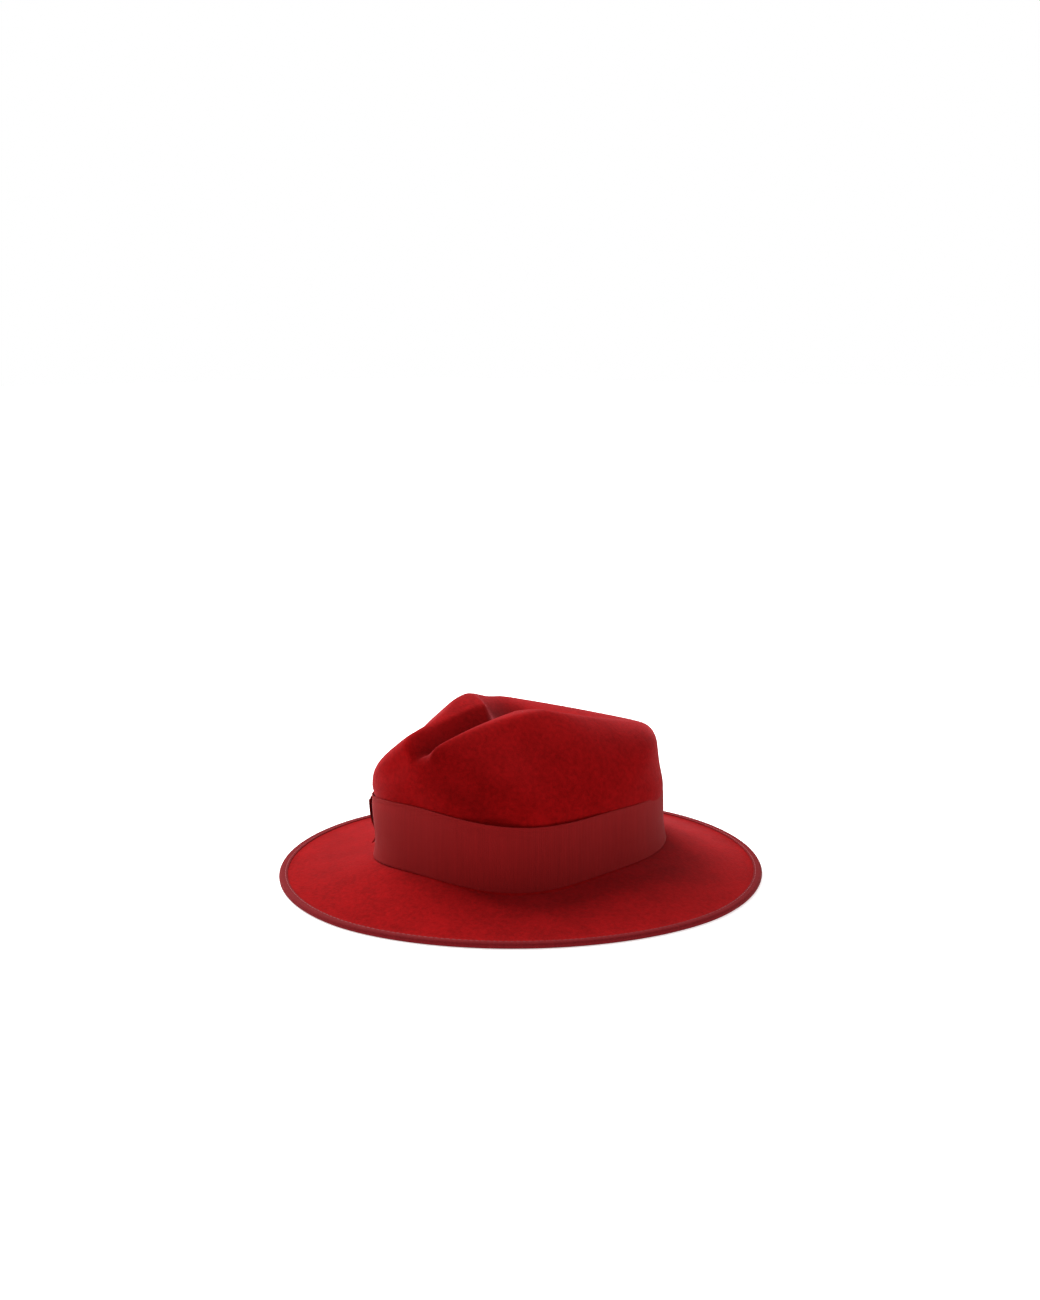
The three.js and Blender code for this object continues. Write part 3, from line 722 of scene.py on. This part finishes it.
def make_bow_loop(name, node, direction, ribbon):
    """A ribbon folded double along the band. The back one's fold is at its far end, as a loop;
    the front one is folded at the knot, and its two ends lie one over the other, a little open."""
    reach = BOW_LOOP - (BACK_SHORTER if direction < 0 else 0.0)
    share = np.linspace(0, 1, 26)
    run = 2.0 + (reach - 2.0) * share
    inner = BOW_GAP + BOW_RIBBON
    belly = 0.3 + (BOW_BELLY - 0.3) * smoothstep(0.2, 0.95, share)
    outer = inner + belly + BOW_RIBBON
    over = np.stack([run, outer], -1)
    under = np.stack([run, 0 * run + BOW_GAP], -1)[::-1]
    turn = np.linspace(0, np.pi, 13)[1:-1]
    if direction < 0:
        middle, radius = inner + BOW_BELLY / 2, BOW_BELLY / 2 + BOW_RIBBON
        fold = np.stack([reach + radius * np.sin(turn), middle + radius * np.cos(turn)], -1)
        path = np.concatenate([over, fold, under])[::-1]
    else:
        radius = (outer[0] - BOW_GAP) / 2
        fold = np.stack([2 - radius * np.sin(turn), BOW_GAP + radius * (1 - np.cos(turn))], -1)
        path = np.concatenate([under, fold, over])
    along, out = path[:, 0], path[:, 1]
    upper = out > inner
    end = smoothstep(reach - SLANT_RUN, reach, along) * (direction > 0)
    rows = []
    for level in np.linspace(0, 1, 24):
        low, high = bow_edges(along)
        low = low + SLANT_LOWER * end * upper
        high = high - SLANT_UPPER * end
        h = low + (high - low) * level
        waves = 0.35 * np.sin(level * np.pi * 3 + along * 0.05) * (1 - smoothstep(8, 34, along))
        closing = (out - inner - 0.2) * end * (1 - smoothstep(0.0, 0.55, level)) * upper
        curl = END_CURL * end * (1 - upper) * max(0.0, 1 - level / 0.16) ** 1.5
        rows.append(bow_points(along * direction, out + waves * upper - closing + curl, h))
    rows = np.array(rows)
    piece = laid_grid(name, rows, (2 * BOW_LOOP, BOW_WIDTH))
    give_thickness(piece, BOW_RIBBON, 0.12)
    return finish_piece(piece, [node], ribbon)


def make_bow_knot(ribbon):
    """A strap of the same ribbon drawn tight round the bow's middle, gathered into soft pleats."""
    inside = BOW_GAP + BOW_RIBBON + KNOT_GAP + BOW_RIBBON
    face = inside + KNOT_GAP + BOW_RIBBON
    turn = np.linspace(0, np.pi / 2, 7)
    corner = KNOT_CORNER
    beyond = KNOT_GAP + BOW_RIBBON
    out = np.concatenate([[BOW_GAP], [face - corner], face - corner + corner * np.sin(turn[1:]),
                          np.full(18, face), (face - corner + corner * np.sin(turn[:-1]))[::-1],
                          [BOW_GAP]])
    rise = np.concatenate([[0.0, 0.0], corner * (1 - np.cos(turn[1:])), np.zeros(18),
                           corner * (1 - np.cos(turn[:-1]))[::-1], [0.0]])
    level = np.concatenate([np.zeros(8), np.linspace(0, 1, 20)[1:-1], np.ones(7)])
    rows = []
    for along in np.linspace(-KNOT_WIDTH / 2, KNOT_WIDTH / 2, 30):
        bottom, top = bow_edges(along)
        bottom, top = bottom - beyond, top + beyond
        h = np.where(level < 0.5, bottom + rise, top - rise)
        middle = (level > 0) & (level < 1)
        h = np.where(middle, bottom + corner + (top - bottom - 2 * corner) * level, h)
        pleat = 0.45 * np.abs(np.sin(np.pi * along / KNOT_WIDTH * 3.5)) * (out > face - corner)
        rows.append(bow_points(np.full(out.shape, along), out + pleat, h))
    rows = np.array(rows)[::-1]
    piece = laid_grid("bow_wrap", rows, (KNOT_LENGTH, KNOT_WIDTH))
    give_thickness(piece, BOW_RIBBON, 0.12)
    return finish_piece(piece, ["bow_knot"], ribbon)


# ---- floor, light and camera -------------------------------------------------------------------

def make_floor():
    bpy.ops.object.select_all(action="DESELECT")
    bpy.ops.mesh.primitive_plane_add(size=24, location=(0, 0, 0))
    floor = bpy.context.object
    floor.name = "studio_floor"
    material = bpy.data.materials.new("white_paper")
    material.use_nodes = True
    surface = material.node_tree.nodes["Principled BSDF"]
    surface.inputs["Base Color"].default_value = linear("#f4f4f4")
    surface.inputs["Roughness"].default_value = 0.9
    surface.inputs["Specular IOR Level"].default_value = 0.1
    surface.inputs["Emission Color"].default_value = (1, 1, 1, 1)
    surface.inputs["Emission Strength"].default_value = 0.6
    floor.data.materials.append(material)
    floor.select_set(False)


CAMERA_TARGET = Vector((0.0, -CROWN_FORWARD * MM, (30 + EDGE_MIDDLE) * MM))
CAMERA_DISTANCE = 1.1
CAMERA_AZIMUTH = math.radians(42)
CAMERA_ELEVATION = math.radians(15.92)


def from_camera(right, back, up):
    """A place given from the camera's side: right and back along the floor, and up."""
    side = Vector((math.cos(CAMERA_AZIMUTH), math.sin(CAMERA_AZIMUTH), 0))
    away = Vector((-math.sin(CAMERA_AZIMUTH), math.cos(CAMERA_AZIMUTH), 0))
    return side * right + away * back + Vector((0, 0, up))


def make_softbox(name, place, size, power):
    light = bpy.data.lights.new(name, "AREA")
    light.size = size
    light.energy = power
    box = bpy.data.objects.new(name, light)
    bpy.context.collection.objects.link(box)
    box.location = place
    box.rotation_euler = (place - Vector((0, 0, 0.05))).to_track_quat("Z", "Y").to_euler()


def make_studio():
    """White all round, dimmer on the camera's side, with a broad light over the back left."""
    world = bpy.data.worlds.new("studio")
    bpy.context.scene.world = world
    world.use_nodes = True
    tree = world.node_tree
    way = add_node(tree, "ShaderNodeTexCoord").outputs["Generated"]
    beyond = from_camera(0.1, 1.0, 0)
    ahead = add_node(tree, "ShaderNodeVectorMath", {"operation": "DOT_PRODUCT"},
                     {0: way, 1: tuple(beyond)}).outputs["Value"]
    level = spread(tree, ahead, -0.6, 0.55, 0.58, 1.0)
    height = add_node(tree, "ShaderNodeSeparateXYZ", inputs={0: way}).outputs["Z"]
    strength = maths(tree, "MULTIPLY", level, spread(tree, height, 0.2, 0.9, 1.0, 0.6))
    seen = add_node(tree, "ShaderNodeLightPath").outputs["Is Camera Ray"]
    strength = maths(tree, "MAXIMUM", strength, seen)
    background = tree.nodes["Background"]
    background.inputs["Color"].default_value = (1, 1, 1, 1)
    tree.links.new(strength, background.inputs["Strength"])
    make_softbox("key", from_camera(-0.6, 0.7, 1.35), 0.9, 39)


def make_camera():
    camera = bpy.data.cameras.new("camera")
    holder = bpy.data.objects.new("camera", camera)
    bpy.context.collection.objects.link(holder)
    back = Vector((math.sin(CAMERA_AZIMUTH) * math.cos(CAMERA_ELEVATION),
                   -math.cos(CAMERA_AZIMUTH) * math.cos(CAMERA_ELEVATION),
                   math.sin(CAMERA_ELEVATION)))
    holder.location = CAMERA_TARGET + back * CAMERA_DISTANCE
    holder.rotation_euler = back.to_track_quat("Z", "Y").to_euler()
    camera.lens = 46.2
    camera.sensor_width = 36
    camera.shift_y = 0.1312
    camera.clip_start = 0.01
    camera.clip_end = 50
    bpy.context.scene.camera = holder


# ---- the hat -----------------------------------------------------------------------------------

felt = wool_felt()
band_ribbon = grosgrain("band_grosgrain", "#741011", "#8a1617", 0.0014)
edge_ribbon = grosgrain("edge_grosgrain", "#600f14", "#7a171c", 0.0010, 0.03)
thread = sewing_thread()

make_camera()
make_felt_body(felt)
make_hat_band(band_ribbon)
make_brim_binding(edge_ribbon)
make_binding_stitches(thread)
make_bow_loop("bow_front", "bow_front_loop", 1, band_ribbon)
make_bow_loop("bow_back", "bow_back_loop", -1, band_ribbon)
make_bow_knot(band_ribbon)
make_floor()
make_studio()
bpy.context.scene.view_settings.view_transform = "Standard"
